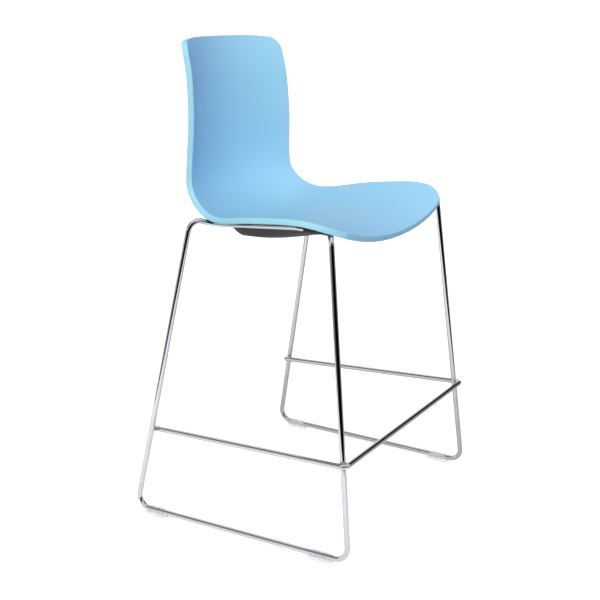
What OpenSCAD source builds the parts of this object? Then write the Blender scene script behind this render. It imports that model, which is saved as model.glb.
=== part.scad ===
// Bar stool: a cupped plastic shell on two closed loops of bent rod, joined by a footrest bar.
// Millimetres. X is across the seat with the sitter's left at +X, the front faces -Y, Z is up.
// The origin is on the floor under the middle of the floor rails.

/* [Rod frame] */
// Diameter of every bent rod
rod_d = 11; // [10:0.5:11]
// Height of the rods' centre line over the floor, set by the glides
rail_z = 12; // [10:1:14]
// Length of a floor rail between its corners
rail_l = 500; // [480:5:520]
// Distance between the floor rails at their front corners
front_spread = 555; // [550:1:560]
// Distance between the floor rails at their rear corners
rear_spread = 577; // [572:1:582]
// Bend radius at the floor corners
floor_bend_r = 26; // [20:2:50]
// Bend radius at the tops of the legs
top_bend_r = 22; // [20:1:22]

/* [Footrest] */
// Height of the footrest in front
footrest_front_z = 203; // [150:1:260]
// Height of the footrest at the rear legs
footrest_rear_z = 186; // [150:1:260]
// Length of bar that stands out behind the rear legs
footrest_tail = 6; // [5:1:30]
// Diameter of the weld beads between the footrest and the legs
footrest_weld_d = 7; // [6.5:0.5:7.5]

/* [Seat shell] */
// Height of the middle of the seat's surface over the floor
seat_z = 608; // [606:1:612]
// Height of the back's top edge over the seat
back_rise = 365; // [300:5:400]
// Thickness of the shell
wall = 4; // [3.5:0.5:5]
// Depth of the turned-down rim
rim_depth = 12; // [10:1:13]
// Radius of the sideways cup at the top of the back
top_cup_r = 275; // [250:5:320]
// Radius of the sideways cup at the small of the back
waist_cup_r = 357; // [320:5:420]
// Radius of the sideways cup of the seat
seat_cup_r = 757; // [740:1:780]

/* [Fixings] */
// Distance from the middle to the screws that hold the shell
screw_x = 70; // [60:1:78]
// Distance from the middle to the screws that hold the cover
cover_screw_x = 40; // [25:1:50]
// Width of a cross strip
strip_w = 30; // [26:1:32]
// Thickness of a cross strip
strip_t = 4; // [3:0.5:4]

/* [Glides] */
// Length of a glide along the rail
glide_l = 50; // [40:1:60]
// Distance from the middle of the rail to the front glides
front_glide_y = 191; // [150:1:200]
// Distance from the middle of the rail to the rear glides
rear_glide_y = 198; // [150:1:205]

/* [Hidden] */

left = 1;
right = -1;
round_fn = 48;

// A length too small to see, where two pieces of a bent bar meet
hair = 0.05;

// Gap between two welded rods, which the weld fills
weld_gap = 0.3;
rod_pitch = rod_d + weld_gap;

// Corners of the left side frame, as if its bends were sharp
floor_front = [front_spread / 2, -rail_l / 2, rail_z];
floor_rear = [rear_spread / 2, rail_l / 2, rail_z];
leg_top_front = [236.5, -184.5, 634];
leg_top_rear = [241.4, 126.2, 634];
// Corners of the run under the seat, from back to front. It hooks in from each leg's top.
seat_run = [[200, 113, 619], [195, 84, 618], [212, 0, 627.4], [219, -100, 635.5], [190, -152, 626.7]];
seat_run_bend_r = 28;

// Cross strips: their place along Y, the top of their flat middle, and the height at which the
// shell's bosses end inside its wall
front_strip = [-75, 604, 614.3];
rear_strip = [60, 592, 606.5];
strip_flat = 85;
strip_bend_r = 12;
// Weld bead under each end of a strip: diameter, length, and how far its middle lies from the
// rod's surface and below the strip
strip_bead = [5, 24];
strip_bead_away = 0.5;
strip_bead_below = 1;
// Place of a footrest weld in the notch beside a leg, as shares of the rods' pitch: towards the
// bar, and along it, and its length along the leg
footrest_weld_at = [0.42, 0.45];
footrest_weld_l = 7;

// M6 screws into the shell: hole, washer, button head and threaded insert
screw_d = 6;
screw_hole_d = 6.6;
screw_l = 14;
head_d = 10.5;
head_h = 3.3;
hex_af = 4;
washer_d = 12;
washer_t = 1.2;
insert_d = 8;
insert_l = 8;
insert_bore_d = 6.2;
insert_groove = 0.4;
insert_groove_z = [2, 4];
insert_hole_l = 10;
boss_d = 18;

// M4 screws through the cover
cover_screw_d = 4;
cover_hole_d = 4.4;
cover_head_d = 7.6;
cover_head_h = 2.4;
cover_recess_d = 8.6;
cover_recess = 3;
// Cross slot of the cover's screws: length, width and depth
cross_slot = [4, 0.8, 1.2];
post_d = 11;

// Pads between the rods and the shell
pad_t = 0.8;
pad_l = 26;
front_pad_y = -45;
rear_pad_y = 16;

// Stations of the shell's middle line, from the top edge to the front lip: distance to the back
// of the origin, height over the seat as a share of the back's rise or in mm, and half width
back_stations = [[231, 1, 171], [213, 0.827, 175], [207, 0.652, 179], [204, 0.477, 183],
    [209, 0.304, 187], [195, 0.134, 189]];
seat_stations = [[140, 7, 199], [75, -6, 216], [8, 1, 244], [-64, 4.5, 253],
    [-136, 9, 259], [-213, -5, 251]];
stations = concat(
    [for (s = back_stations) [s.x, seat_z + back_rise * s.y, s.z]],
    [for (s = seat_stations) [s.x, seat_z + s.y, s.z]]);
last_station = len(stations) - 1;
// Length of shell from one station to the next
station_l = 67;
// The cup turns from the back's to the seat's between these stations
cup_turn = [3.6, 6.8];
lean_turn = [3.2, 7.2];
// Rounded corners: how far the outline draws in, and over what length
top_corner = [16, 42];
front_corner = [42, 75];
// The corners of the top edge drop and those of the front edge draw back: how far, over what length
top_bow = [5.4, 60];
front_bow = [9, 100];
bow_slope = 0.24;

// Section of the rim, from the upper face round to the underside: inset, depth
rim = [[2, 0], [0.6, 0.6], [0, 2], [0, rim_depth - 1], [1, rim_depth], [wall, rim_depth], [wall, wall]];
shell_rows = 40;
shell_cols = 20;
// The rows crowd towards the two edges and the bend between seat and back by this share
row_crowding = 0.035;

// Under-seat cover: half length and half width, its middle along Y, corner shape and thickness
cover_half = [178, 124];
cover_mid_y = -14;
cover_corner = 5;
cover_wall = 2.5;
cover_side_from = 0.84;
cover_rings = 12;
cover_spokes = 64;
// How the cover's side climbs to its edge, and how its rings crowd towards the outline
cover_side_power = 1.7;
cover_ring_power = 0.7;
// Height of the cover's floor along its sides, and its rise from the back to the front
cover_level = 590;
cover_rise = 22;
cover_rise_y = [50, -115];
// Depth of the dish below its sides, and the half width that it is measured over
cover_dish = [21, 150];
// The open edge: how far under the seat's height, and its rise to the front with a limit
cover_edge_drop = 10;
cover_edge_slope = 0.058;
cover_edge_y = 60;
cover_edge_rise = 7;
// Gap round a strip where it leaves the cover
cover_notch = 1.5;

// Glides: width of the foot, thickness of the arms, corners of the foot, heights between which
// the clip has its full length, share of it at the top, and the slope of the open side
glide_foot_w = 15;
glide_arm_t = 1.7;
glide_chamfer = 4;
glide_full = [3, 6];
glide_top_share = 0.6;
glide_open = [4, 20];

// Unit vector along v
function unit(v) = v / norm(v);

// A unit vector square to v
function square_to(v) = unit(cross(v, abs(v.z) < 0.9 * norm(v) ? [0, 0, 1] : [1, 0, 0]));

// Angle through which a path turns at b on its way from a to c
function turn_at(a, b, c) = acos(min(1, unit(b - a) * unit(c - b)));

// The point of the line through a and b that lies at y
function at_y(a, b, y) = a + (b - a) * (y - a.y) / (b.y - a.y);

// The point of the line through a and b that lies at z
function at_z(a, b, z) = a + (b - a) * (z - a.z) / (b.z - a.z);

// 0 at or before from, 1 at or after to, and smooth between them
function blend(x, from, to) = let (t = max(0, min(1, (x - from) / (to - from)))) t * t * (3 - 2 * t);

// Puts the children's X axis along ex and their Z axis along ez, at o
module place(o, ex, ez) {
    ey = cross(ez, ex);
    rows = [for (i = [0:2]) [ex[i], ey[i], ez[i], o[i]]];
    multmatrix(concat(rows, [[0, 0, 0, 1]])) children();
}

// Builds the children on the left and mirrors them for the right
module on_side(side) {
    if (side == left) children();
    else mirror([1, 0, 0]) children();
}

// Sweeps a flat section along straight runs and arcs. The section's X axis points away from the
// bend, and flat_axis is the axis of every bend where the section isn't round. Each run stops a
// hair short of its arcs, and a sleeve that stands a hair proud joins the two.
module bent_bar(path, radii, flat_axis = undef) {
    last = len(path) - 1;
    turns = [for (i = [0:last]) i == 0 || i == last ? 0 : turn_at(path[i - 1], path[i], path[i + 1])];
    setback = [for (i = [0:last]) radii[i] * tan(turns[i] / 2)];
    for (i = [0:last - 1]) {
        way = unit(path[i + 1] - path[i]);
        run = norm(path[i + 1] - path[i]) - setback[i] - setback[i + 1];
        across = is_undef(flat_axis) ? square_to(way) : cross(flat_axis, way);
        short_from = i == 0 ? 0 : hair;
        short_to = i == last - 1 ? 0 : hair;
        place(path[i] + way * setback[i], across, way) {
            translate([0, 0, short_from]) linear_extrude(run - short_from - short_to) children();
            for (z = [each i > 0 ? [0] : [], each i < last - 1 ? [run] : []])
                translate([0, 0, z - 4 * hair]) linear_extrude(8 * hair) scale(1.002) children();
        }
    }
    for (i = [1:last - 1]) {
        from = unit(path[i - 1] - path[i]);
        to = unit(path[i + 1] - path[i]);
        centre = path[i] + unit(from + to) * radii[i] / cos(turns[i] / 2);
        out = unit(path[i] + from * setback[i] - centre);
        place(centre, out, cross(out, -from)) rotate_extrude(angle = turns[i])
            translate([radii[i], 0]) children();
    }
}

module rod_section() {
    circle(d = rod_d, $fn = round_fn);
}

// A straight piece of rod, or of another round bar, from a to b
module straight_rod(a, b, d = rod_d) {
    place(a, square_to(unit(b - a)), unit(b - a)) cylinder(d = d, h = norm(b - a), $fn = round_fn);
}

// Middle line of the shell at station u as [y, z, half width], by a uniform cubic B-spline
function station(i) = i < 0 ? 2 * stations[0] - stations[1]
    : i > last_station ? 2 * stations[last_station] - stations[last_station - 1]
    : stations[i];
function middle(u) = let (i = min(floor(u), last_station - 1), t = u - i)
    (station(i - 1) * pow(1 - t, 3) + station(i) * (3 * t * t * t - 6 * t * t + 4)
    + station(i + 1) * (3 * (t + t * t - t * t * t) + 1) + station(i + 2) * t * t * t) / 6;

// How near u is to an end: 1 at the end, 0 from the given length on
function near_end(length, reach) = max(0, 1 - length / reach);

// Half width of the shell at station u, with its rounded corners
function half_width(u) = middle(u).z
    - top_corner[0] * pow(near_end(u * station_l, top_corner[1]), 3)
    - front_corner[0] * pow(near_end((last_station - u) * station_l, front_corner[1]), 3);

// Sideways curvature at station u
function cup(u) = let (in_seat = blend(u, cup_turn[0], cup_turn[1]), down = min(1, u / cup_turn[0]))
    (1 - in_seat) * ((1 - down) / (2 * top_cup_r) + down / (2 * waist_cup_r)) + in_seat / (2 * seat_cup_r);

// Point of the shell's upper face at station u and x from the middle
function face(u, x) = let (
        m = middle(u),
        lean = 90 * blend(u, lean_turn[0], lean_turn[1]),
        lift = cup(u) * x * x,
        aside = pow(x / half_width(u), 4),
        drop = top_bow[0] * aside * pow(near_end(u * station_l, top_bow[1]), 2),
        draw = front_bow[0] * aside * pow(near_end((last_station - u) * station_l, front_bow[1]), 2))
    [x, m.x - lift * cos(lean) + draw, m.y + lift * sin(lean) - drop + bow_slope * draw];

// Direction square to the upper face, on the sitter's side
function face_normal(u, x) = let (
        before = max(0, u - 0.02),
        after = min(last_station, u + 0.02))
    unit(cross(face(before, x) - face(after, x), face(u, x - 1) - face(u, x + 1)));

// Point of the shell at row i and column j, inset from the outline and sunk below the upper face
function shell_point(i, j, inset, depth) = let (
        t = i / shell_rows,
        spread = t - row_crowding * sin(720 * t),
        u_inset = inset / station_l,
        u = u_inset + spread * (last_station - 2 * u_inset),
        x = (2 * j / shell_cols - 1) * (half_width(u) - inset))
    face(u, x) - depth * face_normal(u, x);

// Row and column of each point once round the edge of the grid
function edge_walk() = concat(
    [for (j = [0:shell_cols - 1]) [0, j]],
    [for (i = [0:shell_rows - 1]) [i, shell_cols]],
    [for (j = [shell_cols:-1:1]) [shell_rows, j]],
    [for (i = [shell_rows:-1:1]) [i, 0]]);

// The shell without its bosses: upper grid, rings round the rim, grid of the underside
module shell_skin() {
    per_row = shell_cols + 1;
    grid = (shell_rows + 1) * per_row;
    walk = edge_walk();
    loop = len(walk);
    rings = len(rim) - 2;
    points = concat(
        [for (r = [rim[0], rim[rings + 1]], i = [0:shell_rows], j = [0:shell_cols])
            shell_point(i, j, r[0], r[1])],
        [for (r = [1:rings], w = walk) shell_point(w[0], w[1], rim[r][0], rim[r][1])]);
    // Number of the point at place k of ring r, where the first and last rings are the grids' edges
    function ring_point(r, k) = let (w = walk[k % loop])
        r == 0 ? w[0] * per_row + w[1]
        : r == rings + 1 ? grid + w[0] * per_row + w[1]
        : 2 * grid + (r - 1) * loop + k % loop;
    upper = [for (i = [0:shell_rows - 1], j = [0:shell_cols - 1])
        let (a = i * per_row + j, b = a + per_row)
        each [[a, a + 1, b + 1], [a, b + 1, b]]];
    under = [for (f = upper) [f[0] + grid, f[2] + grid, f[1] + grid]];
    edge = [for (r = [0:rings], k = [0:loop - 1]) let (
            a = ring_point(r, k),
            b = ring_point(r, k + 1),
            c = ring_point(r + 1, k + 1),
            d = ring_point(r + 1, k))
        each [[a, d, c], [a, c, b]]];
    polyhedron(points, concat(upper, under, edge));
}

// Puts the children at the four screws of the shell, with Z up from the top of the strip
module at_screws() {
    for (strip = [front_strip, rear_strip], side = [right, left])
        translate([side * screw_x, strip[0], strip[1]]) children();
}

module seat_shell() {
    color("skyblue") difference() {
        union() {
            shell_skin();
            for (strip = [front_strip, rear_strip], side = [right, left])
                translate([side * screw_x, strip[0], strip[1]])
                    cylinder(d = boss_d, h = strip[2] - strip[1], $fn = round_fn);
        }
        at_screws() translate([0, 0, -1]) cylinder(d = insert_d, h = insert_hole_l + 1, $fn = round_fn);
    }
}

module seat_inserts() {
    outer = insert_d / 2;
    inner = insert_bore_d / 2;
    groove = outer - insert_groove;
    from = insert_groove_z[0];
    to = insert_groove_z[1];
    color("goldenrod") at_screws() rotate_extrude($fn = round_fn) polygon([
        [inner, 0], [outer, 0], [outer, from], [groove, from + insert_groove],
        [groove, to - insert_groove], [outer, to],
        [outer, insert_l - insert_groove], [groove, insert_l], [inner, insert_l]]);
}

module seat_screws() {
    color("dimgray") at_screws() translate([0, 0, -strip_t - washer_t]) difference() {
        union() {
            cylinder(d = screw_d, h = screw_l, $fn = round_fn);
            intersection() {
                translate([0, 0, -head_h]) cylinder(d = head_d, h = head_h, $fn = round_fn);
                translate([0, 0, head_d / 2]) sphere(d = 2 * (head_h + head_d / 2), $fn = round_fn);
            }
        }
        translate([0, 0, -head_h - 1]) cylinder(d = hex_af / cos(30), h = head_h, $fn = 6);
    }
}

module seat_washers() {
    color("silver") at_screws() translate([0, 0, -strip_t - washer_t]) difference() {
        cylinder(d = washer_d, h = washer_t, $fn = round_fn);
        translate([0, 0, -1]) cylinder(d = screw_hole_d, h = washer_t + 2, $fn = round_fn);
    }
}

// A strip of soft plastic over the top of the rod, between it and the shell
module seat_pad(side, y) {
    a = y > seat_run[2].y ? seat_run[1] : seat_run[2];
    b = y > seat_run[2].y ? seat_run[2] : seat_run[3];
    way = unit(b - a);
    mid = at_y(a, b, y);
    across = unit(cross([0, 0, 1], way));
    color("darkslategray") on_side(side) place(mid, across, way) difference() {
        translate([0, 0, -pad_l / 2]) cylinder(r = rod_d / 2 + pad_t, h = pad_l, $fn = round_fn);
        translate([0, 0, -pad_l]) cylinder(d = rod_d, h = 2 * pad_l, $fn = round_fn);
        translate([-rod_d, -rod_d * 0.7, -pad_l]) cube([2 * rod_d, rod_d, 2 * pad_l]);
    }
}

// One rod bent into a closed loop, its butt weld in the middle of the floor rail
module side_frame(side) {
    seam = (floor_front + floor_rear) / 2;
    path = concat([seam, floor_rear, leg_top_rear], seat_run, [leg_top_front, floor_front, seam]);
    run_radii = [for (p = seat_run) seat_run_bend_r];
    radii = concat([0, floor_bend_r, top_bend_r], run_radii, [top_bend_r, floor_bend_r, 0]);
    color("gainsboro") on_side(side) bent_bar(path, radii) rod_section();
}

// Point of the left seat run's centre line over a strip
function strip_end(strip) = strip[0] > seat_run[2].y
    ? at_y(seat_run[1], seat_run[2], strip[0])
    : at_y(seat_run[2], seat_run[3], strip[0]);

// The stretch of the left seat run that a strip is welded to
module strip_rod(strip) {
    behind = strip[0] > seat_run[2].y;
    straight_rod(behind ? seat_run[1] : seat_run[2], behind ? seat_run[2] : seat_run[3]);
}

// A flat bar with raised ends, coped to the rods, with its screw holes
module cross_strip(strip) {
    end = strip_end(strip);
    mid_z = strip[1] - strip_t / 2;
    bend = [strip_flat, strip[0], mid_z];
    tip = end - unit(end - bend) * 2;
    path = [[-tip.x, tip.y, tip.z], [-bend.x, bend.y, bend.z], bend, tip];
    difference() {
        bent_bar(path, [0, strip_bend_r, strip_bend_r, 0], [0, 1, 0])
            square([strip_t, strip_w], center = true);
        for (side = [right, left]) {
            on_side(side) strip_rod(strip);
            for (hole = [[screw_x, screw_hole_d], [cover_screw_x, cover_screw_d + 0.2]])
                translate([side * hole[0], strip[0], mid_z - strip_t])
                    cylinder(d = hole[1], h = 2 * strip_t, $fn = round_fn);
        }
    }
}

// The space over the left raised end of a strip, from the given distance below it
module over_strip(strip, below) {
    bend = [strip_flat, strip[0], strip[1] - strip_t / 2];
    out = unit(strip_end(strip) - bend);
    high = 30;
    place(bend, cross([0, 1, 0], out), out) translate([-high, -strip_w / 2 - below, 0])
        cube([high + strip_t / 2 + below, strip_w + 2 * below, norm(strip_end(strip) - bend)]);
}

module front_cross_strip() {
    color("gray") cross_strip(front_strip);
}

module rear_cross_strip() {
    color("gray") cross_strip(rear_strip);
}

// Beads along the underside of each strip's two ends
module strip_welds() {
    color("darkgray") for (strip = [front_strip, rear_strip], side = [right, left]) on_side(side) {
        end = strip_end(strip);
        bend = [strip_flat, strip[0], strip[1] - strip_t / 2];
        out = unit(end - bend);
        behind = strip[0] > seat_run[2].y;
        along = unit(seat_run[behind ? 2 : 3] - seat_run[behind ? 1 : 2]);
        corner = end - out * (rod_d / 2 + strip_bead_away) - [0, 0, strip_t / 2 + strip_bead_below];
        half = along * strip_bead[1] / 2;
        difference() {
            straight_rod(corner - half, corner + half, strip_bead[0]);
            strip_rod(strip);
            over_strip(strip, 0);
        }
    }
}

// Footrest: where its side bar crosses the front leg on the outside and the rear leg on the inside
front_leg = unit(leg_top_front - floor_front);
rear_leg = unit(leg_top_rear - floor_rear);
on_front_leg = at_z(floor_front, leg_top_front, footrest_front_z);
on_rear_leg = at_z(floor_rear, leg_top_rear, footrest_rear_z);
bar_way = unit(on_rear_leg - on_front_leg - [2 * rod_pitch, 0, 0]);
front_side = unit(cross(bar_way, front_leg));
rear_side = unit(cross(bar_way, rear_leg));
bar_front = on_front_leg + front_side * rod_pitch;
bar_rear = on_rear_leg - rear_side * rod_pitch;
// The cross bar passes in front of the front legs
cross_side = unit(cross(front_leg, [1, 0, 0]));
cross_point = on_front_leg - cross_side * rod_pitch;
bar_corner = at_y(bar_front, bar_rear, cross_point.y);
bar_end = bar_rear + unit(bar_rear - bar_front) * footrest_tail;

// One rod bent into a U, tight round the front legs
module footrest_bar() {
    corners = [bar_end, bar_corner];
    path = concat([for (p = corners) [-p.x, p.y, p.z]], [bar_corner, bar_end]);
    color("gainsboro") bent_bar(path, [0, rod_pitch, rod_pitch, 0]) rod_section();
}

// Beads of weld in the notches between the bar and the legs, cut away where the rods are. Each
// has a point on a leg, the side of it that the bar is on, and the way the bar goes from there.
module footrest_welds() {
    welds = [[on_front_leg, front_side, bar_way], [on_front_leg, -cross_side, [-1, 0, 0]],
        [on_rear_leg, -rear_side, -bar_way]];
    cross_mid = [0, bar_corner.y, bar_corner.z];
    straights = [[bar_front, bar_end], [cross_mid, cross_mid + [on_front_leg.x, 0, 0]],
        [floor_front, leg_top_front], [floor_rear, leg_top_rear]];
    color("darkgray") for (side = [right, left]) on_side(side) difference() {
        for (w = welds) {
            mid = w[0] + rod_pitch * (footrest_weld_at[0] * w[1] + footrest_weld_at[1] * w[2]);
            half = unit(cross(w[1], w[2])) * footrest_weld_l / 2;
            straight_rod(mid - half, mid + half, footrest_weld_d);
        }
        for (s = straights) straight_rod(s[0], s[1]);
    }
}

// Height of the cover's floor at the sides
function cover_side_z(y) = cover_level + cover_rise * blend(y, cover_rise_y[0], cover_rise_y[1]);

// Outer face of the cover at x and y, dished sideways
function cover_floor(x, y) = cover_side_z(y) - cover_dish[0] * (1 - pow(x / cover_dish[1], 2));

// Height of the cover's open edge, which follows the underside of the seat
function cover_edge(x, y) = seat_z - cover_edge_drop
    + min(cover_edge_rise, cover_edge_slope * (cover_edge_y - y)) + x * x / (2 * seat_cup_r);

// Outline of the cover at angle a: a rectangle with full round corners
function cover_outline(a) = let (c = cos(a), s = sin(a), e = cover_corner)
    [c, s] / pow(pow(abs(c / cover_half.x), e) + pow(abs(s / cover_half.y), e), 1 / e);

// Point of the cover at share t of the way to its outline, drawn in and raised by its thickness
function cover_point(t, a, inset) = let (
        outline = cover_outline(a),
        p = t * outline * (1 - inset / norm(outline)) + [0, cover_mid_y],
        side = max(0, (t - cover_side_from) / (1 - cover_side_from)),
        bottom = cover_floor(p.x, p.y) + inset)
    [p.x, p.y, bottom + pow(side, cover_side_power) * (cover_edge(p.x, p.y) - bottom)];

// The dish: an outer and an inner face with the same rings, closed round the edge
module cover_skin() {
    per_face = 1 + cover_rings * cover_spokes;
    spokes = [0:cover_spokes - 1];
    points = [for (inset = [0, cover_wall]) each concat(
        [cover_point(0, 0, inset)],
        [for (r = [1:cover_rings], k = spokes)
            cover_point(pow(r / cover_rings, cover_ring_power), 360 * k / cover_spokes, inset)])];
    // Number of the point at ring r and spoke k of the outer or the inner face
    function at(f, r, k) = f * per_face + 1 + (r - 1) * cover_spokes + k % cover_spokes;
    // The two triangles between spokes k and k + 1, from one ring to another
    function band(f, r, to_f, to_r, k) = [
        [at(f, r, k), at(to_f, to_r, k + 1), at(f, r, k + 1)],
        [at(f, r, k), at(to_f, to_r, k), at(to_f, to_r, k + 1)]];
    fan = [for (k = spokes) [0, at(0, 1, k), at(0, 1, k + 1)]];
    bands = [for (r = [1:cover_rings - 1], k = spokes) each band(0, r, 0, r + 1, k)];
    outer = concat(fan, bands);
    inner = [for (f = outer) [f[0] + per_face, f[2] + per_face, f[1] + per_face]];
    edge = [for (k = spokes) each band(0, cover_rings, 1, cover_rings, k)];
    polyhedron(points, concat(outer, inner, edge));
}

// Puts the children at the four screws of the cover, with Z up from the cover's outer face
module at_cover_screws() {
    for (strip = [front_strip, rear_strip], side = [right, left])
        translate([side * cover_screw_x, strip[0], cover_floor(cover_screw_x, strip[0])]) children();
}

module under_seat_cover() {
    color("#3a3b40") difference() {
        union() {
            cover_skin();
            for (strip = [front_strip, rear_strip], side = [right, left]) {
                foot = cover_floor(cover_screw_x, strip[0]) + cover_wall / 2;
                translate([side * cover_screw_x, strip[0], foot])
                    cylinder(d = post_d, h = strip[1] - strip_t - foot, $fn = round_fn);
            }
        }
        at_cover_screws() {
            translate([0, 0, -cover_recess])
                cylinder(d = cover_recess_d, h = 2 * cover_recess, $fn = round_fn);
            cylinder(d = cover_hole_d, h = cover_dish[0] * 2, $fn = round_fn);
        }
        // Notches that let the strips out to the rods
        for (strip = [front_strip, rear_strip], side = [right, left])
            on_side(side) over_strip(strip, cover_notch);
    }
}

module cover_screws() {
    color("dimgray") for (strip = [front_strip, rear_strip], side = [right, left]) {
        head_z = cover_floor(cover_screw_x, strip[0]) + cover_recess;
        translate([side * cover_screw_x, strip[0], head_z]) difference() {
            union() {
                cylinder(d = cover_screw_d, h = strip[1] + 0.5 - head_z, $fn = round_fn);
                translate([0, 0, -cover_head_h])
                    cylinder(d1 = cover_head_d * 0.7, d2 = cover_head_d, h = cover_head_h, $fn = round_fn);
            }
            for (turn = [0, 90]) rotate(turn) translate([0, 0, -cover_head_h])
                cube([cross_slot.x, cross_slot.y, 2 * cross_slot.z], center = true);
        }
    }
}

// The left floor rail with its bends and the start of its legs
module left_rail() {
    up_rear = at_z(floor_rear, leg_top_rear, 2 * floor_bend_r);
    up_front = at_z(floor_front, leg_top_front, 2 * floor_bend_r);
    bent_bar([up_rear, floor_rear, floor_front, up_front], [0, floor_bend_r, floor_bend_r, 0]) rod_section();
}

// A clear clip on the floor rail: a flat foot with a tall arm inside and a short one outside
module glide(side, y) {
    half = glide_l / 2;
    // Half lengths of the side view at its heights over the floor
    steps = [[half - glide_chamfer, 0], [half, glide_full[0]], [half, glide_full[1]],
        [half * glide_top_share, rail_z + rod_d]];
    outline = concat([for (s = steps) s], [for (i = [len(steps) - 1:-1:0]) [-steps[i].x, steps[i].y]]);
    rail_turn = atan((floor_rear.x - floor_front.x) / rail_l);
    color("whitesmoke") on_side(side) difference() {
        translate(at_y(floor_front, floor_rear, y)) rotate(-rail_turn) intersection() {
            rotate([90, 0, 0]) linear_extrude(glide_l, center = true) difference() {
                union() {
                    circle(d = rod_d + 2 * glide_arm_t, $fn = round_fn);
                    translate([-glide_foot_w / 2, -rail_z]) square([glide_foot_w, rail_z - rod_d / 2 + 1]);
                }
                polygon([[0, 0], glide_open, [glide_open.y, glide_open.y], [glide_open.y, 0]]);
            }
            translate([0, 0, -rail_z]) rotate([90, 0, 90]) linear_extrude(4 * rod_d, center = true)
                polygon(outline);
        }
        left_rail();
    }
}

seat_shell();
seat_inserts();
seat_screws();
seat_washers();
seat_pad(right, front_pad_y);  // seat_pad_front_right
seat_pad(left, front_pad_y);  // seat_pad_front_left
seat_pad(right, rear_pad_y);  // seat_pad_rear_right
seat_pad(left, rear_pad_y);  // seat_pad_rear_left
side_frame(right);  // side_frame_right
side_frame(left);  // side_frame_left
front_cross_strip();
rear_cross_strip();
strip_welds();
footrest_bar();
footrest_welds();
under_seat_cover();
cover_screws();
glide(right, -front_glide_y);  // glide_front_right
glide(left, -front_glide_y);  // glide_front_left
glide(right, rear_glide_y);  // glide_rear_right
glide(left, rear_glide_y);  // glide_rear_left
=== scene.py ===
import math

import bmesh
import bpy
from mathutils import Matrix, Vector, noise


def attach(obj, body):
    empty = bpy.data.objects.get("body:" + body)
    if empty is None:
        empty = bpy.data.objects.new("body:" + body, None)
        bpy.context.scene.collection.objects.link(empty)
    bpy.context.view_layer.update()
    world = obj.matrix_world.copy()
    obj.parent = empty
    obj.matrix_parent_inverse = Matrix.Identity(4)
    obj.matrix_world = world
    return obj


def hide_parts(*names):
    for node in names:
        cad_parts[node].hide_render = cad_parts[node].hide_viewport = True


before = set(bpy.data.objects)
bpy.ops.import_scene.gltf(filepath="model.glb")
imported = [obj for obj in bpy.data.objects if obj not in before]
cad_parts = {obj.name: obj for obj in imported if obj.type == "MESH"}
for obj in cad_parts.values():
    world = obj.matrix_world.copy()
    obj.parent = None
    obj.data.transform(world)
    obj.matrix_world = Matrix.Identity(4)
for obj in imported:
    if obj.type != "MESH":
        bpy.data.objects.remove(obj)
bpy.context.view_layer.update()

mm = 0.001
turnedSides = 48    # of every turned shape
print("stool: frame loaded with", len(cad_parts), "nodes")


# Shader nodes

class Wire:  # a node's output, so that shader maths reads as maths
    def __init__(self, graph, socket):
        self.graph = graph
        self.socket = socket

    def __add__(self, other):
        return self.graph.maths("ADD", self, other)

    __radd__ = __add__

    def __rsub__(self, other):
        return self.graph.maths("SUBTRACT", other, self)

    def __mul__(self, other):
        return self.graph.maths("MULTIPLY", self, other)

    __rmul__ = __mul__

    def __pow__(self, other):
        return self.graph.maths("POWER", self, other)


class Graph:  # the nodes of one material, or of the world
    def __init__(self, owner):
        owner.use_nodes = True
        self.tree = owner.node_tree
        self.tree.nodes.clear()

    def node(self, kind, settings=None, sockets=None, out=0):
        made = self.tree.nodes.new(kind)
        for name, value in (settings or {}).items():
            setattr(made, name, value)
        for name, value in (sockets or {}).items():
            if isinstance(value, Wire):
                self.tree.links.new(value.socket, made.inputs[name])
            else:
                made.inputs[name].default_value = value
        return Wire(self, made.outputs[out]) if len(made.outputs) else None

    def maths(self, operation, a, b):
        return self.node("ShaderNodeMath", {"operation": operation}, {0: a, 1: b})

    def mix(self, factor, a, b):  # two colours
        return self.node("ShaderNodeMix", {"data_type": "RGBA"}, {0: factor, 6: a, 7: b}, out=2)

    def smooth(self, value, low, high):  # 0 below low, 1 above high
        return self.node("ShaderNodeMapRange", {"interpolation_type": "SMOOTHSTEP"},
                         {"Value": value, "From Min": low, "From Max": high})

    def place(self):  # the point on the piece, in metres
        return self.node("ShaderNodeTexCoord", out="Object")

    def spots(self, place, size, detail, roughness=0.5):  # noise with blots of that size, 0 to 1
        return self.node("ShaderNodeTexNoise", {"normalize": True},
                         {"Vector": place, "Scale": 1 / size, "Detail": detail, "Roughness": roughness})

    def bump(self, height, depth, strength):
        return self.node("ShaderNodeBump", None, {"Height": height, "Strength": strength, "Distance": depth})


def rgb(red, green, blue):
    return (red, green, blue, 1.0)


def newMaterial(name):
    material = bpy.data.materials.new(name)
    return material, Graph(material)


def finishMaterial(graph, sockets):
    shader = graph.node("ShaderNodeBsdfPrincipled", None, sockets)
    graph.node("ShaderNodeOutputMaterial", None, {"Surface": shader})


# Finishes, with their sizes in metres

shellFinish = {
    "colour": rgb(0.245, 0.516, 0.722),
    "paler": rgb(0.264, 0.539, 0.740),
    "flowSize": 0.16,       # how far the moulded colour takes to change
    "grainSize": 0.0011,
    "grainDepth": 0.00004,
    "grainStrength": 0.5,
    "roughness": 0.40,
    "flowRoughens": 0.06,
    "grainRoughens": 0.10,
    "gloss": 0.22,
    "refraction": 1.49,
}


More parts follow.
